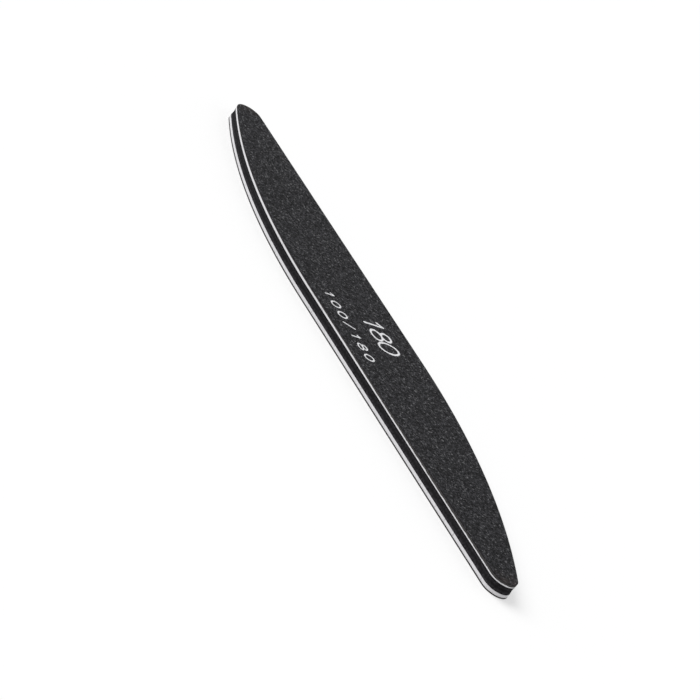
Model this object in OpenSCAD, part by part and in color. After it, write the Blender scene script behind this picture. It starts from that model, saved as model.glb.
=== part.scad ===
// Padded emery board: a double-sided nail file die-cut from a laminate of abrasive sheets,
// stiffeners and a foam core. It lies on its back face, with its length along X and its
// front face up. The outline is the same when turned half a turn: each long edge runs
// straight from one tip to past the middle, then curves in one large arc to the other tip.

/* [Outline] */
// Length from tip to tip
board_length = 178; // [165:1:195]
// Width from one curved edge to the other, square to the length
board_width = 28; // [25:0.5:31]
// Radius of the curved half of each long edge
curve_radius = 178; // [155:1:210]
// Radius of the two blunt tips
tip_radius = 3.6; // [2.5:0.1:5]

/* [Layers] */
// Thickness of each abrasive coat, grains and resin together
grit_coat = 0.13; // [0.1:0.01:0.25]
// Thickness of each backing paper
backing_paper = 0.2; // [0.12:0.01:0.35]
// Thickness of the adhesive film under each backing paper
sheet_film = 0.05; // [0.03:0.01:0.12]
// Thickness of the white stiffener under the front face
front_stiffener_sheet = 0.54; // [0.4:0.02:1]
// Thickness of the white stiffener above the back face
back_stiffener_sheet = 0.68; // [0.4:0.02:1]
// Thickness of the adhesive film on each side of the foam
core_film = 0.05; // [0.03:0.01:0.12]
// Thickness of the foam core
foam_sheet = 1.92; // [1:0.02:3]

/* [Cut edge] */
// How far the cut edge of the foam is drawn in at its waist
foam_waist = 0.1; // [0.02:0.01:0.2]
// Width of the rim that the die presses down around the front face
pressed_rim = 0.5; // [0.2:0.05:1]
// How deep that rim is pressed down at the cut
rim_drop = 0.07; // [0.02:0.01:0.09]
// How far each adhesive film stays back from the cut
film_setback = 0.12; // [0.04:0.02:0.3]

/* [Hidden] */

quarter_turn = 90;
half_turn = 180;
// Facets of the large arcs and the tip circles of the flat layers
arc_facets = 720;
tip_facets = 72;
// Steps along a large arc, round a tip, over the foam's edge and over the pressed rim
arc_steps = 36;
tip_steps = 24;
waist_steps = 6;
rim_steps = 3;

// Centre of the tip circle at +X, and of the large arc that ends on it
tip_centre = [board_length / 2 - tip_radius, 0];
arc_drop = curve_radius - board_width / 2;
arc_centre = [tip_centre.x - sqrt(pow(curve_radius - tip_radius, 2) - pow(arc_drop, 2)), -arc_drop];
// Direction in which the large arc runs into the tip circle
arc_touch = atan2(arc_drop, tip_centre.x - arc_centre.x);
// Directions in which the straight edges touch the large arc and the tip circle at +X. The
// straight edge beside the large arc runs on to the other tip circle, at -X.
centre_offset = arc_centre + tip_centre;
edge_tilt = atan2(centre_offset.x, arc_drop) - acos((curve_radius - tip_radius) / norm(centre_offset));
arc_start = quarter_turn + edge_tilt;
straight_touch = arc_start - half_turn;
// Reach of the cuts that free the tips, past the point where the long edges would meet
cut_reach = board_width;

// Heights at which the layers rest on one another, from the back face up
back_paper_z = grit_coat;
back_film_z = back_paper_z + backing_paper;
back_stiffener_z = back_film_z + sheet_film;
back_core_film_z = back_stiffener_z + back_stiffener_sheet;
foam_z = back_core_film_z + core_film;
front_core_film_z = foam_z + foam_sheet;
front_stiffener_z = front_core_film_z + core_film;
front_film_z = front_stiffener_z + front_stiffener_sheet;
front_paper_z = front_film_z + sheet_film;
front_grit_z = front_paper_z + backing_paper;

function heading(angle) = [cos(angle), sin(angle)];

// What lies inside one long edge: a disc inside the large arc and a block inside the straight
// edge, which meet where the two are tangent
module inside_long_edge(inset) {
    radius = curve_radius - inset;
    translate(arc_centre) {
        circle(r = radius, $fn = arc_facets);
        rotate(edge_tilt) translate([-board_length, 0]) square([board_length, radius]);
    }
}

// The corner outside the blunt tip at +X: all that lies past the tip circle between the
// directions in which the two long edges touch it
module tip_corner(inset) {
    middle = (straight_touch + arc_touch) / 2;
    translate(tip_centre)
        difference() {
            polygon(cut_reach * [[0, 0], heading(straight_touch), heading(middle), heading(arc_touch)]);
            circle(r = tip_radius - inset, $fn = tip_facets);
        }
}

// The board's outline, or one that runs a set distance inside it
module outline(inset = 0) {
    difference() {
        intersection_for(turn = [0, half_turn]) rotate(turn) inside_long_edge(inset);
        for (turn = [0, half_turn]) rotate(turn) tip_corner(inset);
    }
}

// The same outline as a ring of points at one height: round the tip at +X, back along the large
// arc, then the same again turned half a turn. The straight edges lie between the two halves.
function ring(inset, height) =
    let (
        tip = [for (i = [0 : tip_steps])
            tip_centre + (tip_radius - inset)
                * heading(straight_touch + (arc_touch - straight_touch) * i / tip_steps)],
        arc = [for (i = [1 : arc_steps])
            arc_centre + (curve_radius - inset)
                * heading(arc_touch + (arc_start - arc_touch) * i / arc_steps)]
    )
    [for (turn = [1, -1]) for (point = concat(tip, arc)) [turn * point.x, turn * point.y, height]];

// A layer whose cut edge has a shape: rings joined from the bottom up, one for each inset and
// height of the profile
module shaped_layer(profile) {
    count = len(ring(0, 0));
    last = len(profile) - 1;
    function at(level, i) = level * count + i % count;
    polyhedron(
        points = [for (step = profile) each ring(step[0], step[1])],
        faces = concat(
            [[for (i = [0 : count - 1]) at(0, i)]],
            [[for (i = [count - 1 : -1 : 0]) at(last, i)]],
            [for (level = [0 : last - 1]) for (i = [0 : count - 1])
                [at(level, i), at(level + 1, i), at(level + 1, i + 1), at(level, i + 1)]]
        )
    );
}

module flat_layer(thickness, inset = 0) {
    linear_extrude(thickness) outline(inset);
}

module adhesive_film(thickness) {
    color("#d8d2c2") flat_layer(thickness, film_setback);
}

module back_grit_coat() {
    color("#2c2c2e") flat_layer(grit_coat);
}

module back_backing_paper() {
    color("#45423f") translate([0, 0, back_paper_z]) flat_layer(backing_paper);
}

module back_adhesive_film() {
    translate([0, 0, back_film_z]) adhesive_film(sheet_film);
}

module back_stiffener() {
    color("#e9e7ea") translate([0, 0, back_stiffener_z]) flat_layer(back_stiffener_sheet);
}

module back_core_film() {
    translate([0, 0, back_core_film_z]) adhesive_film(core_film);
}

// The foam springs back from the die, so its cut edge is drawn in to a waist at mid thickness
module foam_core() {
    profile = [for (i = [0 : waist_steps])
        let (rise = i / waist_steps) [foam_waist * (1 - pow(2 * rise - 1, 2)), foam_sheet * rise]];
    color("#232224") translate([0, 0, foam_z]) shaped_layer(profile);
}

module front_core_film() {
    translate([0, 0, front_core_film_z]) adhesive_film(core_film);
}

module front_stiffener() {
    color("#e9e7ea") translate([0, 0, front_stiffener_z]) flat_layer(front_stiffener_sheet);
}

module front_adhesive_film() {
    translate([0, 0, front_film_z]) adhesive_film(sheet_film);
}

module front_backing_paper() {
    color("#45423f") translate([0, 0, front_paper_z]) flat_layer(backing_paper);
}

// The die enters from the front, so this coat's rim rolls down to the cut in a flat round
module front_grit_coat() {
    roll = [for (i = [0 : rim_steps])
        let (angle = quarter_turn * i / rim_steps)
        [pressed_rim * (1 - cos(angle)), grit_coat - rim_drop * (1 - sin(angle))]];
    color("#343436") translate([0, 0, front_grit_z]) shaped_layer(concat([[0, 0]], roll));
}

back_grit_coat();
back_backing_paper();
back_adhesive_film();
back_stiffener();
back_core_film();
foam_core();
front_core_film();
front_stiffener();
front_adhesive_film();
front_backing_paper();
front_grit_coat();
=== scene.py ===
"""A padded emery board: glued sheets and a foam core between two coats of grit, cut out by one die."""

import math

import bpy
import numpy as np
from bpy.props import FloatProperty, FloatVectorProperty, PointerProperty
from mathutils import Matrix, Vector
from mathutils.bvhtree import BVHTree
from mathutils.geometry import delaunay_2d_cdt


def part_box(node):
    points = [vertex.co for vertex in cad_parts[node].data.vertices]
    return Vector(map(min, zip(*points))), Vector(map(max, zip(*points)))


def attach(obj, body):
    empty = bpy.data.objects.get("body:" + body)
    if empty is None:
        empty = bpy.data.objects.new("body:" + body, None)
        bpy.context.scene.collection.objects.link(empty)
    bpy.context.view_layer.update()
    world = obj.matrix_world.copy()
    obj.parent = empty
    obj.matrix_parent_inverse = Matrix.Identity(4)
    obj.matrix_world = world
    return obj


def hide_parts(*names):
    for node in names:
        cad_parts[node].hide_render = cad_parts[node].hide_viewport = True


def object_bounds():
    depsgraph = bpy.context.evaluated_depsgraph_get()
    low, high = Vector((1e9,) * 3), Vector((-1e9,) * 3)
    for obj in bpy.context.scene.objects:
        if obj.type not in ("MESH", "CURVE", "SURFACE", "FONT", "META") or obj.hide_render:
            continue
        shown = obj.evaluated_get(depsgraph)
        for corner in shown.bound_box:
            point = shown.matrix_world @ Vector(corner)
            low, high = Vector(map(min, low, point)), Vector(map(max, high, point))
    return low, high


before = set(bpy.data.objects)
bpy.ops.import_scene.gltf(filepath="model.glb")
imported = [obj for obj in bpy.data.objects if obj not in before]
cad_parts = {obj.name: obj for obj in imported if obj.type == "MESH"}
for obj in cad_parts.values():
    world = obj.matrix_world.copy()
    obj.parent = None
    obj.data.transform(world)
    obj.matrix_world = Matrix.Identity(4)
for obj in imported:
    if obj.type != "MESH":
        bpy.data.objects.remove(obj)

bl_info = {
    "name": "Emery Board",
    "version": (1, 0, 0),
    "blender": (4, 5, 0),
    "location": "3D View > Sidebar > Emery Board",
    "description": "Builds a padded emery board with grit faces, plastic stiffeners and a foam core",
    "category": "Add Mesh",
}

MM = 0.001
BODY = "root"
CAD_LOW, CAD_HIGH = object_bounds()


def size(name, default_mm, description):
    """A length that the sidebar shows in the scene's unit."""
    return FloatProperty(name=name, description=description, default=default_mm * MM,
                         min=0.0, subtype="DISTANCE", unit="LENGTH", precision=5)


def angle(name, default_degrees, description):
    """An angle that the sidebar shows in degrees."""
    return FloatProperty(name=name, description=description, default=math.radians(default_degrees),
                         subtype="ANGLE", unit="ROTATION")


def colour(name, default, description):
    """A linear colour."""
    return FloatVectorProperty(name=name, description=description, default=default,
                               size=3, min=0.0, max=1.0, subtype="COLOR")


# Sizes and colours


class BoardSizes(bpy.types.PropertyGroup):
    """Sizes of the die outline and of the relief on each sheet."""

    board_length: size("Board length", (CAD_HIGH.x - CAD_LOW.x) / MM, "Length over the two tips")
    board_width: size("Board width", (CAD_HIGH.y - CAD_LOW.y) / MM, "Width over the two curved edges")
    curve_radius: size("Curve radius", 178.0, "Radius of the long curved edge")
    tip_radius: size("Tip radius", 3.6, "Radius of the rounded tips")
    grain_pitch: size("Grain pitch", 0.25, "Mean distance between two grains of grit")
    grain_height: size("Grain height", 0.07, "Height of the grains over the glue that holds them")
    pressed_rim: size("Pressed rim", 0.5, "Width of the rim that the die rolls over")
    rim_drop: size("Rim drop", 0.07, "How far the die presses the rim down")
    foam_waist: size("Foam waist", 0.1, "How far the cut edge of the foam draws in at mid height")
    foam_cell: size("Foam cell", 0.16, "Size of the cut cells in the foam edge")
    foam_pit: size("Foam pit", 0.08, "Depth of the deepest cut cell")
    cut_mark: size("Cut mark", 0.02, "Depth of the marks that the die leaves in the plastic")
    paper_fray: size("Paper fray", 0.025, "How far fibres are torn out of the paper's cut edge")
    paper_lip: size("Paper lip", 0.28, "How far the die drags the front paper down near the +X tip")
    plastic_lip: size("Plastic lip", 0.065, "How far the die drags the back plastic down over the paper")
    lip_thickness: size("Lip thickness", 0.05, "Thickness of a lip that the die drags down")


class PrintSizes(bpy.types.PropertyGroup):
    """Sizes and places of the grit number that is printed on the front face."""

    print_tilt: angle("Print tilt", 4.6, "Angle of the print's base line to the board's length")
    line_height: size("Line height", 2.9, "Height of the small digits")
    line_length: size("Line length", 24.8, "Length of the small line of digits")
    line_stretch: FloatProperty(name="Line stretch", description="How much wider the small digits are drawn",
                                default=1.3, min=0.5, max=2.0)
    line_stroke: size("Line stroke", 0.42, "Stroke width of the small digits")
    mark_height: size("Mark height", 6.4, "Height of the large digits")
    mark_length: size("Mark length", 13.0, "Length of the large digits")
    mark_stroke: size("Mark stroke", 0.62, "Stroke width of the large digits")
    ink_film: size("Ink film", 0.008, "Thickness of the ink over the grains")


class BoardColours(bpy.types.PropertyGroup):
    """Colours of the sheets, the grit and the ink."""

    grit: colour("Grit", (0.0101, 0.0101, 0.0117), "Silicon carbide grains in black resin")
    grit_light: colour("Light grain", (0.118, 0.118, 0.123), "A grain whose face shows bare mineral")
    grit_rubbed: colour("Rubbed grit", (0.060, 0.046, 0.041), "Resin rubbed brown near the tips")
    paper: colour("Paper", (0.040, 0.038, 0.037), "Dyed backing paper")
    plastic: colour("Plastic", (0.650, 0.642, 0.660), "White polystyrene of the stiffeners")
    plastic_dust: colour("Plastic dust", (0.160, 0.155, 0.155), "Grey dust on the plastic's cut edge")
    foam: colour("Foam", (0.0052, 0.0050, 0.0056), "Black foam of the core")
    # Grey of the dust on the foam's cut edge, also laid on as painted light near the glue lines
    foam_dust_and_light: colour("Foam dust", (0.0340, 0.0328, 0.0360), "Grey dust on the foam's cut edge")
    adhesive: colour("Adhesive", (0.42, 0.36, 0.27), "Dried contact adhesive")
    ink: colour("Ink", (0.72, 0.72, 0.74), "Silver white printing ink")
    floor: colour("Floor", (0.98, 0.98, 0.98), "Matt white floor")


class ViewSizes(bpy.types.PropertyGroup):
    """The camera's place, given by the point that it looks at on the front face."""

    aim: FloatVectorProperty(name="Aim", description="Point in the middle of the picture",
                             default=(14.593 * MM, -11.346 * MM, 4.0 * MM), size=3,
                             subtype="TRANSLATION", unit="LENGTH", precision=5)
    distance: size("Distance", 761.18, "Distance from the aim point")
    azimuth: angle("Azimuth", 51.107, "Turn round the board, zero looks along +Y")
    elevation: angle("Elevation", 21.543, "Height above the floor")
    roll: angle("Roll", 37.056, "Turn of the picture about the line of sight")
    lens: FloatProperty(name="Lens", description="Focal length on a sensor 36 mm wide",
                        default=178.175, min=1.0, unit="CAMERA")


# Die outline


class DieEdge:
    """The closed line that the die cuts: half of it is a tip arc, a long arc and a straight edge that
    touches both tips' arcs, and the other half is the same turned half a turn."""

    def __init__(self, sizes):
        self.curve_radius, self.tip_radius = sizes.curve_radius, sizes.tip_radius
        reach = self.curve_radius - self.tip_radius
        drop = self.curve_radius - sizes.board_width / 2
        self.tip_centre = np.array([sizes.board_length / 2 - self.tip_radius, 0.0])
        self.arc_centre = np.array([self.tip_centre[0] - math.sqrt(reach ** 2 - drop ** 2), -drop])
        between = self.arc_centre + self.tip_centre
        tilt = math.atan2(between[0], drop) - math.acos(reach / math.hypot(*between))
        self.arc_touch = math.atan2(drop, self.tip_centre[0] - self.arc_centre[0])
        self.arc_start = math.pi / 2 + tilt
        self.straight_touch = self.arc_start - math.pi
        self.straight_from = self.on_circle(self.arc_centre, self.curve_radius, self.arc_start)
        straight_to = self.on_circle(-self.tip_centre, self.tip_radius, self.arc_start)
        self.tip_length = self.tip_radius * (self.arc_touch - self.straight_touch)
        self.arc_length = self.curve_radius * (self.arc_start - self.arc_touch)
        self.half_length = self.tip_length + self.arc_length + math.dist(self.straight_from, straight_to)

    @staticmethod
    def on_circle(centre, radius, turn):
        turn = np.asarray(turn)
        return centre + radius * np.stack([np.cos(turn), np.sin(turn)], -1)

    def walk(self, spacing):
        """Evenly spaced points from the middle of the +X tip round to the left, and their normals."""
        steps = round(self.half_length / spacing)
        along = (self.tip_length / 2 + np.arange(2 * steps) * self.half_length / steps)
        along %= 2 * self.half_length
        second_half = along >= self.half_length
        along -= second_half * self.half_length
        past_tip = along - self.tip_length
        past_arc = past_tip - self.arc_length
        turn = np.where(past_arc < 0, self.arc_touch + past_tip / self.curve_radius, self.arc_start)
        turn = np.where(past_tip < 0, self.straight_touch + along / self.tip_radius, turn)
        normals = self.on_circle(np.zeros(2), 1.0, turn)
        forward = np.array([-math.sin(self.arc_start), math.cos(self.arc_start)])
        points = np.where((past_arc < 0)[:, None], self.arc_centre + self.curve_radius * normals,
                          self.straight_from + past_arc[:, None] * forward)
        points = np.where((past_tip < 0)[:, None], self.tip_centre + self.tip_radius * normals, points)
        sign = np.where(second_half, -1.0, 1.0)[:, None]
        return points * sign, normals * sign

    def half_depth(self, points):
        """Distance to one half of the edge, and infinity where the other half is nearer."""
        from_arc, from_tip = points - self.arc_centre, points - self.tip_centre
        turn_arc = np.arctan2(from_arc[:, 1], from_arc[:, 0])
        turn_tip = np.arctan2(from_tip[:, 1], from_tip[:, 0])
        straight = (self.straight_from - points) @ self.on_circle(np.zeros(2), 1.0, self.arc_start)
        arc = self.curve_radius - np.hypot(*from_arc.T)
        tip = self.tip_radius - np.hypot(*from_tip.T)
        depth = np.where(turn_arc > self.arc_start, straight, arc)
        depth = np.where(turn_arc < self.arc_touch, np.inf, depth)
        at_tip = (turn_tip > self.straight_touch) & (turn_tip < self.arc_touch)
        return np.where(at_tip, tip, depth)

    def depth(self, points):
        """How far each point lies inside the edge."""
        return np.minimum(self.half_depth(points), self.half_depth(-points))


# Mesh helpers


def make_piece(name, points, faces, smooth, finish):
    """A mesh object that rides on the board. smooth is one flag, or one flag for each face."""
    mesh = bpy.data.meshes.new(name)
    mesh.from_pydata(np.asarray(points).tolist(), [], faces)
    mesh.polygons.foreach_set("use_smooth", np.broadcast_to(smooth, len(faces)).tolist())
    mesh.materials.append(finish)
    if mesh.validate():
        raise RuntimeError(f"{name} came out with faces that overlap or have no area")
    mesh.update()
    piece = bpy.data.objects.new(name, mesh)
    bpy.context.collection.objects.link(piece)
    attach(piece, BODY)
    return piece


def cap_faces(first, count):
    """Faces that close a ring of points, laid across it in strips. The ring starts at a tip."""
    half, last = count // 2, first + count
    strips = [[first, first + 1, last - 1]]
    strips += [[first + k, first + k + 1, last - k - 1, last - k] for k in range(1, half - 1)]
    strips.append([first + half - 1, first + half, first + half + 1])
    return strips


def wall_faces(lower, upper, count):
    """Faces between two rings of as many points, outward side out."""
    turn = [(k, (k + 1) % count) for k in range(count)]
    return [[lower + a, lower + b, upper + b, upper + a] for a, b in turn]


def die_cut_sheet(name, edge, spacing, levels, insets, smooth_wall, finish):
    """A flat sheet. levels and insets have one row for each ring up its cut edge, and each row gives one
    number, or one for each point of the outline: the ring's height, and how far it is set in."""
    outline, normals = edge.walk(spacing)
    count, rows = len(outline), len(levels)
    rings = []
    for level, inset in zip(levels, insets):
        ring = outline - normals * np.broadcast_to(inset, count)[:, None]
        rings.append(np.column_stack([ring, np.broadcast_to(level, count)]))
    bottom = [face[::-1] for face in cap_faces(0, count)]
    walls = [face for row in range(rows - 1) for face in wall_faces(row * count, (row + 1) * count, count)]
    top = cap_faces((rows - 1) * count, count)
    smooth = [False] * len(bottom) + [smooth_wall] * len(walls) + [False] * len(top)
    return make_piece(name, np.vstack(rings), bottom + walls + top, smooth, finish)


def soften(grid, passes):
    """Blurs a grid that wraps round along its columns."""
    for _ in range(passes):
        grid = (np.roll(grid, 1, 1) + 2 * grid + np.roll(grid, -1, 1)) / 4
        padded = np.vstack([grid[:1], grid, grid[-1:]])
        grid = (padded[:-2] + 2 * padded[1:-1] + padded[2:]) / 4
    return grid


def spread(grid):
    """The same grid, stretched to run from 0 to 1."""
    return (grid - grid.min()) / (grid.max() - grid.min())


def patches(dice, points, cell):
    """Soft random patches of about one cell across, from 0 to 1, at each point."""
    places = (points - points.min(0)) / cell
    corner = places.astype(int)
    part = places - corner
    part = part * part * (3 - 2 * part)
    values = dice.random(corner.max(0) + 2)
    x, y = corner.T
    near = values[x, y] * (1 - part[:, 0]) + values[x + 1, y] * part[:, 0]
    far = values[x, y + 1] * (1 - part[:, 0]) + values[x + 1, y + 1] * part[:, 0]
    return near * (1 - part[:, 1]) + far * part[:, 1]


# Finishes

WHITE = (1.0, 1.0, 1.0, 1.0)
FIRST_COLOUR, SECOND_COLOUR, MIXED_COLOUR = 6, 7, 2  # places of the colour sockets on a Mix node
RUBBED_LENGTH = 5.0 * MM  # how far from each tip the grit is rubbed
RUBBED_SHARE = 0.35       # how much of its colour a rubbed patch changes at the very tip
# How much painted light lies on the foam's cut edge as grey, from its back glue line (0) to its front one (1)
# Most of it lies at the glue lines, and the waist between them is left darker as painted shade
PAINTED_LIGHT_BY_HEIGHT = ((0.0, 0.75), (0.15, 0.6), (0.28, 0.38), (0.42, 0.12), (0.56, 0.14), (0.73, 0.4),
                  (0.88, 0.2), (1.0, 0.15))


def shade(tint, factor):
    """A colour made lighter or darker."""
    return tuple(min(1.0, channel * factor) for channel in tint)


def opaque(tint):
    """A colour with the alpha that a socket asks for."""
    return (*tint, 1.0)


class Finish:
    """A material with one Principled shader, and the node tree's few calls that the finishes need."""

    def __init__(self, name, **constants):
        self.material = bpy.data.materials.new(name)
        self.material.use_nodes = True
        self.tree = self.material.node_tree
        self.shader = self.tree.nodes["Principled BSDF"]
        for socket, value in constants.items():
            self.shader.inputs[socket.replace("_", " ")].default_value = value
        self.coords = self.tree.nodes.new("ShaderNodeTexCoord")

    def node(self, kind, settings=None, **inputs):
        """Adds a node. An input is linked if it is another node's output, and set if it is a value."""
        made = self.tree.nodes.new(kind)
        for key, value in (settings or {}).items():
            setattr(made, key, value)
        for socket, value in inputs.items():
            self.put(made.inputs[socket.replace("_", " ")], value)
        return made

    def put(self, socket, value):
        if isinstance(value, bpy.types.NodeSocket):
            self.tree.links.new(value, socket)
        else:
            socket.default_value = value

    def stretched(self, factors):
        """Object coordinates, multiplied by factors along each axis."""
        mapping = self.node("ShaderNodeMapping", Vector=self.coords.outputs["Object"])
        mapping.inputs["Scale"].default_value = factors
        return mapping.outputs["Vector"]

    def noise(self, grain, detail=3.0, vector=None):
        """Noise whose lumps are about one grain across, in metres."""
        return self.node("ShaderNodeTexNoise", Vector=vector or self.coords.outputs["Object"],
                         Scale=1.0 / grain, Detail=detail).outputs["Fac"]

    def ramp(self, driver, stops):
        """A colour ramp of (place, colour) stops."""
        made = self.node("ShaderNodeValToRGB", Fac=driver)
        elements = made.color_ramp.elements
        while len(elements) < len(stops):
            elements.new(0.5)
        for element, (place, tint) in zip(elements, stops):
            element.position = place
            element.color = opaque(tint)
        return made.outputs["Color"]

    def span(self, driver, low, high, start=0.0, end=1.0):
        """A number that runs from low to high while the driver runs from start to end."""
        return self.node("ShaderNodeMapRange", Value=driver, From_Min=start, From_Max=end,
                         To_Min=low, To_Max=high).outputs["Result"]

    def blend(self, factor, first, second):
        """Two colours, mixed by a factor that varies over the surface."""
        mix = self.node("ShaderNodeMix", {"data_type": "RGBA"})
        self.put(mix.inputs["Factor"], factor)
        self.put(mix.inputs[FIRST_COLOUR], first)
        self.put(mix.inputs[SECOND_COLOUR], second)
        return mix.outputs[MIXED_COLOUR]

    def set(self, **sockets):
        for socket, value in sockets.items():
            self.put(self.shader.inputs[socket.replace("_", " ")], value)

    def product(self, first, second):
        """Two numbers, multiplied."""
        made = self.node("ShaderNodeMath", {"operation": "MULTIPLY"})
        self.put(made.inputs[0], first)
        self.put(made.inputs[1], second)
        return made.outputs["Value"]

    def place(self, axis):
        """The object coordinate along one axis."""
        return self.node("ShaderNodeSeparateXYZ", Vector=self.coords.outputs["Object"]).outputs[axis]

    def bump(self, height, depth, strength=1.0):
        made = self.node("ShaderNodeBump", Height=height, Distance=depth, Strength=strength)
        self.set(Normal=made.outputs["Normal"])


def grit_finish(name, colours, sizes):
    """Black resin with mineral grains: each grain has its own tone, and few of them are bare and light.
    Near the tips the resin is rubbed in patches."""
    finish = Finish(name, Specular_IOR_Level=0.05)
    grain = finish.node("ShaderNodeAttribute", {"attribute_name": "grain_tone"}).outputs["Fac"]
    base = finish.ramp(grain, [(0.0, shade(colours.grit, 0.15)), (0.5, shade(colours.grit, 0.9)),
                               (0.90, shade(colours.grit, 3.4)), (0.98, tuple(colours.grit_light))])
    # Random patches of the grit, a few grains across, are made darker
    clumps = finish.noise(1.2 * sizes.grain_pitch, detail=2.0)
    dark_patches = finish.span(clumps, 0.0, 0.7, start=0.44, end=0.62)
    toned = finish.blend(dark_patches, base, opaque(shade(colours.grit, 0.25)))
    tip = sizes.board_length / 2
    from_middle = finish.node("ShaderNodeMath", {"operation": "ABSOLUTE"})
    finish.put(from_middle.inputs[0], finish.place("X"))
    near_tip = finish.span(from_middle.outputs["Value"], 0.0, RUBBED_SHARE,
                           start=tip - RUBBED_LENGTH, end=tip)
    patchy = finish.span(finish.noise(1.1 * MM), 0.0, 1.0, start=0.4, end=0.6)
    rubbed = finish.blend(finish.product(near_tip, patchy), toned, opaque(colours.grit_rubbed))
    finish.set(Base_Color=rubbed, Roughness=finish.span(grain, 0.70, 0.42))
    chips = finish.noise(0.4 * sizes.grain_pitch, detail=2.0)
    finish.bump(chips, depth=0.2 * sizes.grain_height, strength=0.6)
    return finish.material


def paper_finish(name, colours):
    """Dyed paper, seen on its cut edge: thin plies that run along the edge, with pale torn fibres."""
    finish = Finish(name, Specular_IOR_Level=0.25)
    plies = finish.noise(1.0 * MM, detail=4.0, vector=finish.stretched((1.0, 1.0, 22.0)))
    fibres = finish.ramp(plies, [(0.35, shade(colours.paper, 0.6)), (0.55, tuple(colours.paper)),
                                 (0.75, shade(colours.paper, 2.2))])
    finish.set(Base_Color=fibres, Roughness=finish.span(plies, 0.95, 0.78))
    finish.bump(plies, depth=0.012 * MM, strength=0.7)
    return finish.material


def plastic_finish(name, colours):
    """Satin white sheet plastic with die marks, faint cloudiness and a little dust from the core."""
    finish = Finish(name, Specular_IOR_Level=0.5)
    cloud = finish.noise(9.0 * MM, detail=2.0)
    body = finish.ramp(cloud, [(0.3, shade(colours.plastic, 0.965)), (0.7, shade(colours.plastic, 1.02))])
    flecks = finish.noise(0.55 * MM, detail=2.0, vector=finish.stretched((1.0, 1.0, 0.45)))
    dusty = finish.span(flecks, 0.0, 0.55, start=0.63, end=0.76)
    finish.set(Base_Color=finish.blend(dusty, body, opaque(colours.plastic_dust)),
               Roughness=finish.span(flecks, 0.34, 0.55, start=0.3, end=0.7))
    die_lines = finish.noise(0.12 * MM, detail=2.0, vector=finish.stretched((1.0, 1.0, 0.2)))
    finish.bump(die_lines, depth=0.004 * MM, strength=0.5)
    return finish.material


def foam_finish(name, colours, sizes, low, high):
    """Matt closed-cell foam, whose cell walls are a little lighter than the cut cells. Grey lies on it in
    clouds: dust of the cut, and painted light, most of it just over the back glue line and some below the
    front one, while the waist between is left darker as painted shade."""
    finish = Finish(name, Specular_IOR_Level=0.06)
    cells = finish.node("ShaderNodeTexVoronoi", {"feature": "DISTANCE_TO_EDGE"},
                        Vector=finish.coords.outputs["Object"], Scale=1.0 / (1.4 * sizes.foam_cell))
    walls = cells.outputs["Distance"]
    tone = finish.ramp(walls, [(0.0, shade(colours.foam, 2.0)), (0.22, tuple(colours.foam)),
                               (0.6, shade(colours.foam, 0.5))])
    cloud = finish.noise(0.5 * MM)
    height = finish.span(finish.place("Z"), 0.0, 1.0, start=low, end=high)
    # Painted light by height: grey near the glue lines, with painted shade left dark in the waist; dust holds
    # the dust clouds together with this painted light
    painted_light = finish.ramp(height, [(place, (share,) * 3) for place, share in PAINTED_LIGHT_BY_HEIGHT])
    dust = finish.product(painted_light, finish.span(cloud, 0.1, 1.9, start=0.38, end=0.62))
    dusty = finish.blend(dust, tone, opaque(colours.foam_dust_and_light))
    finish.set(Base_Color=dusty, Roughness=finish.span(cloud, 0.80, 0.96, start=0.3, end=0.7))
    finish.bump(walls, depth=0.03 * MM, strength=0.5)
    return finish.material


def adhesive_finish(name, colours):
    """Dried contact adhesive: a dull cream film that is drawn into strings along its edge."""
    finish = Finish(name, Specular_IOR_Level=0.4)
    strings = finish.noise(0.6 * MM, vector=finish.stretched((1.0, 1.0, 4.0)))
    tone = finish.ramp(strings, [(0.3, shade(colours.adhesive, 0.45)), (0.7, tuple(colours.adhesive))])
    finish.set(Base_Color=tone, Roughness=finish.span(strings, 0.45, 0.75, start=0.3, end=0.7))
    finish.bump(strings, depth=0.01 * MM, strength=0.6)
    return finish.material


def ink_finish(name, colours):
    """Silver white ink: brighter where it lies thick on a grain."""
    finish = Finish(name, Specular_IOR_Level=0.5)
    cover = finish.noise(0.28 * MM)
    tone = finish.ramp(cover, [(0.30, shade(colours.ink, 0.62)), (0.48, tuple(colours.ink)),
                               (0.80, shade(colours.ink, 1.08))])
    finish.set(Base_Color=tone, Roughness=finish.span(cover, 0.55, 0.36, start=0.3, end=0.7))
    finish.bump(finish.noise(0.1 * MM, detail=2.0), depth=0.006 * MM, strength=0.5)
    return finish.material


def floor_finish(name, colours):
    """Matt painted board with a barely visible mottle. It looks white, and shows a part of its shadow."""
    finish = Finish(name, Specular_IOR_Level=0.0, Roughness=1.0)
    mottle = finish.noise(180.0 * MM, detail=2.0)
    finish.set(Base_Color=finish.ramp(mottle, [(0.3, shade(colours.floor, 0.995)),
                                               (0.7, tuple(colours.floor))]))
    white = finish.node("ShaderNodeEmission", Color=WHITE, Strength=1.0)
    seen = finish.span(seen_rays(finish.tree), 0.0, 1.0 - SHADOW_SHARE)
    mix = finish.node("ShaderNodeMixShader", Fac=seen)
    finish.put(mix.inputs[1], finish.shader.outputs["BSDF"])
    finish.put(mix.inputs[2], white.outputs["Emission"])
    finish.put(finish.tree.nodes["Material Output"].inputs["Surface"], mix.outputs["Shader"])
    return finish.material


def seen_rays(tree):
    """One for rays from the camera and for those that gloss or glass sends on, and none for the others."""
    path = tree.nodes.new("ShaderNodeLightPath")
    total = path.outputs["Is Camera Ray"]
    for ray in ("Is Glossy Ray", "Is Transmission Ray"):
        larger = tree.nodes.new("ShaderNodeMath")
        larger.operation = "MAXIMUM"
        tree.links.new(total, larger.inputs[0])
        tree.links.new(path.outputs[ray], larger.inputs[1])
        total = larger.outputs["Value"]
    return total


# Grit faces

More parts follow.
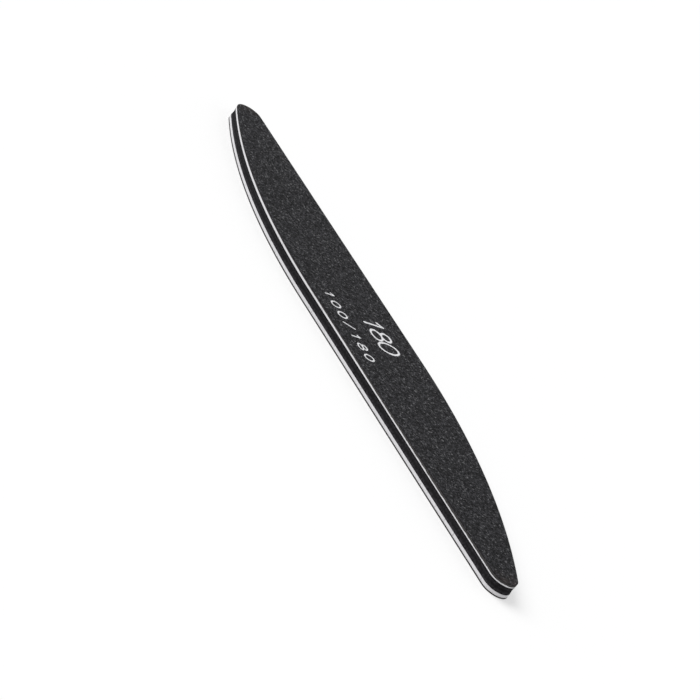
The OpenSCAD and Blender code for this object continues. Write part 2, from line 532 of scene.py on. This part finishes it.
FRONT_SEED, BACK_SEED = 180, 100
FRONT_CLUMP, BACK_CLUMP = 0.55 * MM, 0.75 * MM  # size of the patches in which the grains stand lower
BACK_ROLL = 0.3      # how far the back rim rolls over, as a share of the front one
RIM_RINGS = 4        # rings of points over the pressed rim
RIM_CROWDING = 1.4   # more than one sets the rings closer together towards the cut
RIM_STRAY = 0.3      # how far a point of an inner ring strays from its place, in pitches
ROW_STRAY = 0.36     # how far a grain in the rows strays from its place, in pitches
ROW_GAP = 0.55       # least distance between the last ring and the rows, in pitches
LOW_GRAIN = 0.25     # height of the lowest grains, as a share of the highest
GRAIN_SKEW = 0.8     # less than one makes more grains high than low
CLUMP_SHARE = 0.2    # how much lower the grains of a clump stand, as a share of the relief
CUT_RELIEF = 0.25    # share of the relief that is left at the cut
SLIVER = 5e-5 * MM   # least height of a real facet between three points of the rim
INSIDE_ONLY = 1      # makes the triangulation keep what lies inside the rim
TOLERANCE = 1e-6     # within this many millimetres the triangulation joins points


def grain_places(edge, sizes, dice):
    """Points of the grit face: rings over the rim first, then jittered rows of grains inside them."""
    outline, normals = edge.walk(sizes.grain_pitch)
    insets = sizes.pressed_rim * np.linspace(0.0, 1.0, RIM_RINGS) ** RIM_CROWDING
    rings = [outline]
    for inset in insets[1:]:
        stray = dice.uniform(-RIM_STRAY, RIM_STRAY, (len(outline), 2)) * sizes.grain_pitch
        rings.append(outline - normals * inset + stray)
    row_pitch = sizes.grain_pitch * math.sqrt(3) / 2
    half_length, half_width = sizes.board_length / 2, sizes.board_width / 2
    x, y = np.meshgrid(np.arange(-half_length, half_length, sizes.grain_pitch),
                       np.arange(-half_width, half_width, row_pitch))
    x[::2] += sizes.grain_pitch / 2
    rows = np.column_stack([x.ravel(), y.ravel()])
    rows += dice.uniform(-ROW_STRAY, ROW_STRAY, rows.shape) * sizes.grain_pitch
    rows = rows[edge.depth(rows) > insets[-1] + ROW_GAP * sizes.grain_pitch]
    return np.vstack(rings + [rows]), len(outline)


def without_slivers(flat, triangles, rim):
    """The triangles, less those that rounding lays between three points of a straight stretch of the rim."""
    corners = np.array(triangles)
    a, b, c = flat[corners[:, 0]], flat[corners[:, 1]], flat[corners[:, 2]]
    (x1, y1), (x2, y2) = (b - a).T, (c - a).T
    longest = np.max([np.hypot(*(b - a).T), np.hypot(*(c - b).T), np.hypot(*(a - c).T)], 0)
    sliver = np.isin(corners, rim).all(1) & (np.abs(x1 * y2 - x2 * y1) < SLIVER * longest)
    return corners[~sliver]


def grit_face(name, edge, sizes, colours, base, top, seed, roll, clump):
    """One coat of grit. base is the level of its flat side and top the level of its highest grains.
    A facet has the tone of its highest corner, so that each grain shows as one patch of facets."""
    dice = np.random.default_rng(seed)
    places, edge_count = grain_places(edge, sizes, dice)
    flat, _, triangles, sources, _, _ = delaunay_2d_cdt(
        [Vector(place) for place in places / MM], [], [list(range(edge_count))], INSIDE_ONLY, TOLERANCE, True)
    flat = np.array(flat) * MM
    depth = np.clip(edge.depth(flat), 0.0, None)
    clumps = patches(dice, flat, clump)
    grains = LOW_GRAIN + (1.0 - LOW_GRAIN) * dice.random(len(flat)) ** GRAIN_SKEW
    grains = np.clip(grains - CLUMP_SHARE * (clumps - 0.5), 0.0, 1.0)
    taper = np.clip(CUT_RELIEF + depth / sizes.pressed_rim, CUT_RELIEF, 1.0)
    below_top = sizes.grain_height * (1.0 - grains) * taper
    short = np.clip(1.0 - depth / sizes.pressed_rim, 0.0, 1.0)
    below_top += roll * (1.0 - np.sqrt(1.0 - short ** 2))
    up = 1.0 if top > base else -1.0
    surface = np.column_stack([flat, top - up * below_top])
    at = {source: place for place, found in enumerate(sources) for source in found}
    rim = [at[k] for k in range(edge_count)]
    corners = without_slivers(flat, triangles, rim)
    foot = np.column_stack([surface[rim, :2], np.full(edge_count, base)])
    points = np.vstack([surface, foot])
    first = len(surface)
    turn = [(k, (k + 1) % edge_count) for k in range(edge_count)]
    walls = [[first + a, first + b, rim[b], rim[a]] for a, b in turn]
    base_faces = [face[::-1] for face in cap_faces(first, edge_count)]
    faces = corners.tolist() + walls + base_faces
    if up < 0:
        faces = [face[::-1] for face in faces]
    piece = make_piece(name, points, faces, False, grit_finish(name + "_finish", colours, sizes))
    highest = corners[np.arange(len(corners)), below_top[corners].argmin(1)]
    tones = np.zeros(len(faces), np.float32)
    tones[:len(corners)] = dice.random(first)[highest]
    piece.data.attributes.new("grain_tone", "FLOAT", "FACE").data.foreach_set("value", tones)
    return piece


class BOARD_OT_grit_faces(bpy.types.Operator):
    """Build the front and back coats of grit"""

    bl_idname = "emery_board.grit_faces"
    bl_label = "Grit Faces"
    bl_options = {"REGISTER", "UNDO"}

    def execute(self, context):
        sizes, colours = context.scene.board_sizes, context.scene.board_colours
        edge = DieEdge(sizes)
        low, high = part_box("front_grit_coat")
        front = grit_face("front_grit_face", edge, sizes, colours, low.z, high.z, FRONT_SEED,
                          sizes.rim_drop, FRONT_CLUMP)
        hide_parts("front_grit_coat")
        low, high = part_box("back_grit_coat")
        back = grit_face("back_grit_face", edge, sizes, colours, high.z, low.z, BACK_SEED,
                         BACK_ROLL * sizes.rim_drop, BACK_CLUMP)
        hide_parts("back_grit_coat")
        return {"FINISHED"}


# Sheets between the faces

PAPER_SEED, STIFFENER_SEED, FOAM_SEED = 31, 51, 71
WALL_PITCH = 0.18 * MM  # spacing of points along a cut edge
PAPER_ROWS, STIFFENER_ROWS = 4, 9
FIBRE_SKEW = 1.5        # more than one leaves few fibres torn out deeply
# Shares of the board's length where the die starts to drag harder, and over which the drag grows
DRAG_START, DRAG_RUN = 0.3, 0.5
LEAST_DRAG = 0.08       # share of the full drag before it starts to grow
# Least drop of a lip, and how much more it drops at most, as shares of its set drop
LIP_LEAST, LIP_RAGGED = 0.75, 0.5
LIP_ROOM = 1.25         # room behind a lip, in thicknesses of the lip
# How far down the room behind a lip ends, and over how far it closes, in drops of the lip
ROOM_END, ROOM_FADE = 2.0, 1.25
FINE_MARKS = 0.35       # depth of the fine die marks against the slanting ones
# Depths of the marks and of the rounded rims, in cut marks, and how suddenly the rims round off
MARKED, ROUNDED, ROUNDING_POWER = 0.75, 1.25, 6
OPEN_START, OPEN_RUN = 0.45, 0.4  # level of the noise at which a cell opens, and over which it deepens
ROUGH_CUT = 0.2         # share of the pits' depth that is plain roughness
GLUED, GLUED_POWER = 0.6, 8  # how much shallower the pits are at the glue lines, and how suddenly


def sheet_levels(node):
    """The levels of a flat CAD sheet's two sides."""
    low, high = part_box(node)
    return low.z, high.z


def torn_edge(edge, sizes, dice, rows):
    """How far the paper's cut edge is set in: fibres torn out at random."""
    count = len(edge.walk(WALL_PITCH)[0])
    return sizes.paper_fray * spread(soften(dice.random((rows, count)), 1)) ** FIBRE_SKEW


def drag_share(edge, sizes):
    """How hard the die drags the front sheets down at each point: hardly at the -X tip, fully near +X."""
    along = edge.walk(WALL_PITCH)[0][:, 0] / sizes.board_length + 0.5
    return np.clip((along - DRAG_START) / DRAG_RUN, LEAST_DRAG, 1.0)


def ragged_drop(edge, dice, drop):
    """How far a lip hangs down at each point, with a ragged lower rim."""
    count = len(edge.walk(WALL_PITCH)[0])
    return drop * (LIP_LEAST + LIP_RAGGED * spread(soften(dice.random((1, count)), 3))[0])


def hanging_rim(levels, insets, drop, thickness):
    """Rings of a sheet whose lower rim is dragged down over the edge of the sheet below it."""
    low = levels[0]
    return [low, low - drop, low - drop] + levels[1:], [thickness, thickness, insets[0]] + insets[1:]


def behind_lip(levels, reach, thickness):
    """How far a cut edge is set in to make room for a lip that reaches that far down from its top."""
    below = (levels[-1] - np.array(levels)[:, None]) / reach
    return LIP_ROOM * thickness * np.clip((ROOM_END - below) / ROOM_FADE, 0.0, 1.0)


def drawn_edge(edge, sizes, dice, rows):
    """How far the plastic's cut edge is set in: slanting die marks, and rims rounded over."""
    count = len(edge.walk(WALL_PITCH)[0])
    lines = soften(dice.random((1, count)), 2).repeat(rows, 0)
    slanted = np.array([np.roll(line, row) for row, line in enumerate(lines)])
    marks = spread(slanted + FINE_MARKS * soften(dice.random((rows, count)), 2))
    level = np.linspace(-1.0, 1.0, rows)[:, None]
    return sizes.cut_mark * (MARKED * marks + ROUNDED * np.abs(level) ** ROUNDING_POWER)


def cut_cells(edge, sizes, dice, rows, pitch):
    """How far the foam's cut edge is set in: a shallow waist, with open cells cut through."""
    count = len(edge.walk(pitch)[0])
    level = np.linspace(-1.0, 1.0, rows)[:, None]
    cells = spread(soften(dice.random((rows, count)), 1))
    open_cells = np.clip((cells - OPEN_START) / OPEN_RUN, 0.0, 1.0)
    rough = dice.random((rows, count))
    pits = sizes.foam_pit * ((1 - ROUGH_CUT) * open_cells + ROUGH_CUT * rough)
    return sizes.foam_waist * (1 - level ** 2) + pits * (1 - GLUED * level ** GLUED_POWER)


class BOARD_OT_backing_papers(bpy.types.Operator):
    """Build the two backing papers under the grit"""

    bl_idname = "emery_board.backing_papers"
    bl_label = "Backing Papers"
    bl_options = {"REGISTER", "UNDO"}

    def execute(self, context):
        sizes = context.scene.board_sizes
        edge = DieEdge(sizes)
        finish = paper_finish("backing_paper_finish", context.scene.board_colours)
        for seed, node in enumerate(("front_backing_paper", "back_backing_paper"), PAPER_SEED):
            dice = np.random.default_rng(seed)
            levels = list(np.linspace(*sheet_levels(node), PAPER_ROWS))
            insets = torn_edge(edge, sizes, dice, PAPER_ROWS)
            if node == "front_backing_paper":
                drop = ragged_drop(edge, dice, sizes.paper_lip * drag_share(edge, sizes))
                levels, insets = hanging_rim(levels, list(insets), drop, sizes.lip_thickness)
            else:
                insets += behind_lip(levels, sizes.plastic_lip, sizes.lip_thickness)
            sheet = die_cut_sheet(node + "_sheet", edge, WALL_PITCH, levels, insets, False,
                                  finish)
            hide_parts(node)
        return {"FINISHED"}


class BOARD_OT_stiffeners(bpy.types.Operator):
    """Build the two white plastic stiffeners"""

    bl_idname = "emery_board.stiffeners"
    bl_label = "Stiffeners"
    bl_options = {"REGISTER", "UNDO"}

    def execute(self, context):
        sizes = context.scene.board_sizes
        edge = DieEdge(sizes)
        finish = plastic_finish("stiffener_finish", context.scene.board_colours)
        for seed, node in enumerate(("front_stiffener", "back_stiffener"), STIFFENER_SEED):
            dice = np.random.default_rng(seed)
            levels = list(np.linspace(*sheet_levels(node), STIFFENER_ROWS))
            insets = drawn_edge(edge, sizes, dice, STIFFENER_ROWS)
            if node == "front_stiffener":
                drag = drag_share(edge, sizes)
                insets += behind_lip(levels, sizes.paper_lip * drag, sizes.lip_thickness * drag ** 0.5)
            else:
                drop = ragged_drop(edge, dice, sizes.plastic_lip)
                levels, insets = hanging_rim(levels, list(insets), drop, sizes.lip_thickness)
            sheet = die_cut_sheet(node + "_sheet", edge, WALL_PITCH, levels, insets, True,
                                  finish)
            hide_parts(node)
        return {"FINISHED"}


class BOARD_OT_foam_core(bpy.types.Operator):
    """Build the black foam core"""

    bl_idname = "emery_board.foam_core"
    bl_label = "Foam Core"
    bl_options = {"REGISTER", "UNDO"}

    def execute(self, context):
        sizes, colours = context.scene.board_sizes, context.scene.board_colours
        edge = DieEdge(sizes)
        low, high = sheet_levels("foam_core")
        rows = round((high - low) / sizes.foam_cell) + 2
        insets = cut_cells(edge, sizes, np.random.default_rng(FOAM_SEED), rows, sizes.foam_cell)
        core = die_cut_sheet("foam_core_pad", edge, sizes.foam_cell, np.linspace(low, high, rows), insets,
                             False, foam_finish("foam_finish", colours, sizes, low, high))
        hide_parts("foam_core")
        return {"FINISHED"}


class BOARD_OT_adhesive_films(bpy.types.Operator):
    """Give the four adhesive films their finish"""

    bl_idname = "emery_board.adhesive_films"
    bl_label = "Adhesive Films"
    bl_options = {"REGISTER", "UNDO"}

    def execute(self, context):
        finish = adhesive_finish("adhesive_film_finish", context.scene.board_colours)
        for name in ("front_adhesive_film", "front_core_film", "back_core_film", "back_adhesive_film"):
            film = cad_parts[name]
            if not film.material_slots:
                film.data.materials.append(None)
            for slot in film.material_slots:
                slot.link = "OBJECT"
                slot.material = finish
        return {"FINISHED"}


# Grit number on the front face

LINE_TEXT, MARK_TEXT = "100/180", "180"
LINE_PLACE = (3.4 * MM, -6.7 * MM)   # middle of the small line, on the front face
MARK_PLACE = (2.9 * MM, 2.9 * MM)    # middle of the large digits
INK_SEED = 7
INK_CELL = 0.085 * MM                # side of the small squares that the ink is laid in
INK_STRAY = 0.3                      # how far a square's corner strays, in squares
INK_SPREAD = 0.82, 1.12              # range of how far the ink covers the half width of a stroke
INK_REACH = 0.62, 1.0                # range of how far down the ink runs, in grain heights
INK_DEPTH = 4                        # thickness of the ink's solid, in ink films
STROKE_STEPS = 40
SIGN_WIDTH = 0.6                     # width of a sign, in heights


def ring_stroke(middle, width, height):
    """The centre line of an upright oval."""
    turn = np.linspace(0.0, 2 * math.pi, STROKE_STEPS + 1)
    return np.column_stack([middle[0] + width / 2 * np.cos(turn), middle[1] + height / 2 * np.sin(turn)])


def glyph_strokes(sign):
    """Centre lines of a digit or a slash, one unit high and centred on the origin."""
    if sign == "0":
        return [ring_stroke((0.0, 0.0), 0.68, 1.0)]
    if sign == "8":
        return [ring_stroke((0.0, 0.265), 0.52, 0.47), ring_stroke((0.0, -0.235), 0.66, 0.53)]
    if sign == "1":
        return [np.array([(-0.17, 0.27), (0.05, 0.5), (0.05, -0.5)])]
    if sign == "/":
        return [np.array([(-0.24, -0.55), (0.24, 0.55)])]
    raise ValueError(f"no strokes are drawn for {sign}")


def text_strokes(text, middle, tilt, height, length, stretch):
    """Centre lines of a line of signs, spaced out evenly over its length, on the front face."""
    pitch = (length - SIGN_WIDTH * height) / (len(text) - 1)
    turned = np.array([[math.cos(tilt), math.sin(tilt)], [-math.sin(tilt), math.cos(tilt)]])
    strokes = []
    for k, sign in enumerate(text):
        offset = np.array([(k - (len(text) - 1) / 2) * pitch, 0.0])
        for line in glyph_strokes(sign):
            strokes.append((line * (stretch * height, height) + offset) @ turned + middle)
    return strokes


def stroke_distance(points, strokes):
    """Distance from each point to the nearest centre line."""
    nearest = np.full(len(points), np.inf)
    for line in strokes:
        for start, end in zip(line[:-1], line[1:]):
            run = end - start
            part = np.clip((points - start) @ run / (run @ run), 0.0, 1.0)
            nearest = np.minimum(nearest, np.hypot(*(points - start - part[:, None] * run).T))
    return nearest


def fill_corner_contacts(inked):
    """Fills squares until no two inked squares touch at a corner alone."""
    while True:
        a, b, c, d = inked[:-1, :-1], inked[1:, :-1], inked[:-1, 1:], inked[1:, 1:]
        lone = (a & d & ~b & ~c) | (b & c & ~a & ~d)
        if not lone.any():
            return inked
        for part in (a, b, c, d):
            part |= lone


def print_text(name, face, strokes, stroke, grain_height, ink_film, finish, dice):
    """Ink on the grains of a grit face: laid in small squares, with gaps over the deep valleys."""
    mesh = face.data
    tree = BVHTree.FromPolygons([v.co for v in mesh.vertices], [tuple(p.vertices) for p in mesh.polygons])
    box = np.vstack(strokes)
    low, high = box.min(0) - stroke, box.max(0) + stroke
    columns, rows = np.ceil((high - low) / INK_CELL).astype(int)
    x, y = np.meshgrid(np.arange(columns + 1), np.arange(rows + 1), indexing="ij")
    stray = dice.uniform(-INK_STRAY, INK_STRAY, (columns + 1, rows + 1, 2))
    corners = low + INK_CELL * (np.stack([x, y], -1) + stray)
    middles = (corners[:-1, :-1] + corners[1:, 1:]) / 2
    reach = stroke_distance(middles.reshape(-1, 2), strokes).reshape(columns, rows)
    inked = reach < stroke / 2 * dice.uniform(*INK_SPREAD, reach.shape)
    sky = CAD_HIGH.z + 1 * MM
    levels = np.full((columns + 1, rows + 1), np.nan)
    near = np.zeros((columns + 1, rows + 1), bool)
    for part in (near[:-1, :-1], near[1:, :-1], near[:-1, 1:], near[1:, 1:]):
        part |= inked
    for place in zip(*np.nonzero(near)):
        hit = tree.ray_cast(Vector((*corners[place], sky)), Vector((0, 0, -1)))[0]
        levels[place] = hit.z
    heights = np.nan_to_num((levels[:-1, :-1] + levels[1:, 1:]) / 2, nan=0.0)
    valley = heights < CAD_HIGH.z - grain_height * dice.uniform(*INK_REACH, heights.shape)
    inked = fill_corner_contacts(inked & ~valley)
    return ink_mesh(name, corners, levels, inked, tree, sky, ink_film, finish)


def ink_mesh(name, corners, levels, inked, tree, sky, ink_film, finish):
    """A thin closed film over the inked squares."""
    index = {}
    tops = []
    for i, j in zip(*np.nonzero(inked)):
        for corner in ((i, j), (i + 1, j), (i + 1, j + 1), (i, j + 1)):
            if corner in index:
                continue
            level = levels[corner]
            if math.isnan(level):
                level = tree.ray_cast(Vector((*corners[corner], sky)), Vector((0, 0, -1)))[0].z
            index[corner] = len(tops)
            tops.append((*corners[corner], level + ink_film))
    tops = np.array(tops)
    lower = tops - (0.0, 0.0, INK_DEPTH * ink_film)
    count = len(tops)
    faces = []
    for i, j in zip(*np.nonzero(inked)):
        square = [index[c] for c in ((i, j), (i + 1, j), (i + 1, j + 1), (i, j + 1))]
        faces += [square, [count + k for k in reversed(square)]]
        beside = ((i, j - 1), (i + 1, j), (i, j + 1), (i - 1, j))
        for side, (p, q) in enumerate(beside):
            inside = 0 <= p < inked.shape[0] and 0 <= q < inked.shape[1] and inked[p, q]
            if not inside:
                a, b = square[side], square[(side + 1) % 4]
                faces.append([a, count + a, count + b, b])
    return make_piece(name, np.vstack([tops, lower]), faces, False, finish)


class BOARD_OT_grit_number(bpy.types.Operator):
    """Print the grit number on the front face"""

    bl_idname = "emery_board.grit_number"
    bl_label = "Grit Number"
    bl_options = {"REGISTER", "UNDO"}

    def execute(self, context):
        marks = context.scene.print_sizes
        face = bpy.data.objects.get("front_grit_face")
        if face is None:
            raise RuntimeError("build the grit faces before the grit number")
        finish = ink_finish("ink_finish", context.scene.board_colours)
        dice = np.random.default_rng(INK_SEED)
        lines = (("grit_number_line", LINE_TEXT, LINE_PLACE, marks.line_height, marks.line_length,
                  marks.line_stroke, marks.line_stretch),
                 ("grit_number_mark", MARK_TEXT, MARK_PLACE, marks.mark_height, marks.mark_length,
                  marks.mark_stroke, 1.0))
        for name, text, middle, height, length, stroke, stretch in lines:
            strokes = text_strokes(text, middle, marks.print_tilt, height - stroke, length - stroke, stretch)
            print_text(name, face, strokes, stroke, context.scene.board_sizes.grain_height, marks.ink_film,
                       finish, dice)
        return {"FINISHED"}


# Stage

FLOOR_SIDE = 12.0       # metres
SKY_LIGHT = 0.60        # radiance of the soft light from all sides
KEY_LIGHT = 1.92        # irradiance of the key lamp
KEY_SPREAD = 48.0       # degrees, for soft shadows
KEY_AZIMUTH, KEY_ELEVATION = -42.0, 45.0  # degrees
SENSOR_WIDTH = 36.0     # millimetres
NEAREST, FARTHEST = 0.01, 50.0  # metres, what the camera can see
SHADOW_SHARE = 0.55     # how much of its shadow the floor shows


def direction(azimuth, elevation):
    """The unit vector back towards a viewer who stands at that azimuth and elevation."""
    return Vector((math.sin(azimuth) * math.cos(elevation),
                   -math.cos(azimuth) * math.cos(elevation), math.sin(elevation)))


def place_camera(view):
    """The camera at the photograph's angle, rolled about its line of sight."""
    back = direction(view.azimuth, view.elevation)
    level = Vector((math.cos(view.azimuth), math.sin(view.azimuth), 0.0))
    above = back.cross(level)
    right = math.cos(view.roll) * level + math.sin(view.roll) * above
    up = back.cross(right)
    lens = bpy.data.cameras.new("photo_camera")
    lens.sensor_width, lens.lens = SENSOR_WIDTH, view.lens
    lens.clip_start, lens.clip_end = NEAREST, FARTHEST
    camera = bpy.data.objects.new("photo_camera", lens)
    place = Vector(view.aim) + back * view.distance
    camera.matrix_world = Matrix.Translation(place) @ Matrix((right, up, back)).transposed().to_4x4()
    bpy.context.collection.objects.link(camera)
    bpy.context.scene.camera = camera


def place_floor(finish):
    """One wide square under the board."""
    half = FLOOR_SIDE / 2
    corners = [(-half, -half, 0), (half, -half, 0), (half, half, 0), (-half, half, 0)]
    mesh = bpy.data.meshes.new("floor")
    mesh.from_pydata(corners, [], [(0, 1, 2, 3)])
    mesh.materials.append(finish)
    floor = bpy.data.objects.new("floor", mesh)
    bpy.context.collection.objects.link(floor)


def place_lights():
    """Soft light from all sides, and one broad lamp that shapes the board."""
    lamp = bpy.data.lights.new("key_lamp", "SUN")
    lamp.energy, lamp.angle = KEY_LIGHT, math.radians(KEY_SPREAD)
    key = bpy.data.objects.new("key_lamp", lamp)
    back = direction(math.radians(KEY_AZIMUTH), math.radians(KEY_ELEVATION))
    key.rotation_mode = "QUATERNION"
    key.rotation_quaternion = back.to_track_quat("Z", "Y")
    bpy.context.collection.objects.link(key)
    world = bpy.data.worlds.new("studio")
    world.use_nodes = True
    nodes, links = world.node_tree.nodes, world.node_tree.links
    sky = nodes["Background"]
    sky.inputs["Color"].default_value = WHITE
    sky.inputs["Strength"].default_value = SKY_LIGHT
    seen = nodes.new("ShaderNodeBackground")
    seen.inputs["Color"].default_value = WHITE
    mix = nodes.new("ShaderNodeMixShader")
    links.new(seen_rays(world.node_tree), mix.inputs["Fac"])
    links.new(sky.outputs["Background"], mix.inputs[1])
    links.new(seen.outputs["Background"], mix.inputs[2])
    links.new(mix.outputs["Shader"], nodes["World Output"].inputs["Surface"])
    bpy.context.scene.world = world


class BOARD_OT_stage(bpy.types.Operator):
    """Set up the floor, the light and the camera"""

    bl_idname = "emery_board.stage"
    bl_label = "Stage"
    bl_options = {"REGISTER", "UNDO"}

    def execute(self, context):
        place_camera(context.scene.view_sizes)
        place_floor(floor_finish("floor_finish", context.scene.board_colours))
        place_lights()
        context.scene.view_settings.view_transform = "Standard"
        return {"FINISHED"}


# Sidebar

OPERATORS = (BOARD_OT_grit_faces, BOARD_OT_backing_papers, BOARD_OT_stiffeners, BOARD_OT_foam_core,
             BOARD_OT_adhesive_films, BOARD_OT_grit_number, BOARD_OT_stage)
GROUPS = {"board_sizes": BoardSizes, "print_sizes": PrintSizes, "board_colours": BoardColours,
          "view_sizes": ViewSizes}


class BOARD_PT_sidebar(bpy.types.Panel):
    """Sizes, colours and the steps that build the board"""

    bl_idname = "BOARD_PT_sidebar"
    bl_label = "Emery Board"
    bl_space_type = "VIEW_3D"
    bl_region_type = "UI"
    bl_category = "Emery Board"

    def draw(self, context):
        for group_name, group_type in GROUPS.items():
            box = self.layout.box()
            for value_name in group_type.__annotations__:
                box.prop(getattr(context.scene, group_name), value_name)
        for operator in OPERATORS:
            self.layout.operator(operator.bl_idname)


def register():
    for made in (*GROUPS.values(), *OPERATORS, BOARD_PT_sidebar):
        bpy.utils.register_class(made)
    for group_name, group_type in GROUPS.items():
        setattr(bpy.types.Scene, group_name, PointerProperty(type=group_type))


def unregister():
    for group_name in GROUPS:
        delattr(bpy.types.Scene, group_name)
    for made in reversed((*GROUPS.values(), *OPERATORS, BOARD_PT_sidebar)):
        bpy.utils.unregister_class(made)


def main():
    register()
    for operator in OPERATORS:
        group, step = operator.bl_idname.split(".")
        getattr(getattr(bpy.ops, group), step)()


if __name__ == "__main__":
    main()
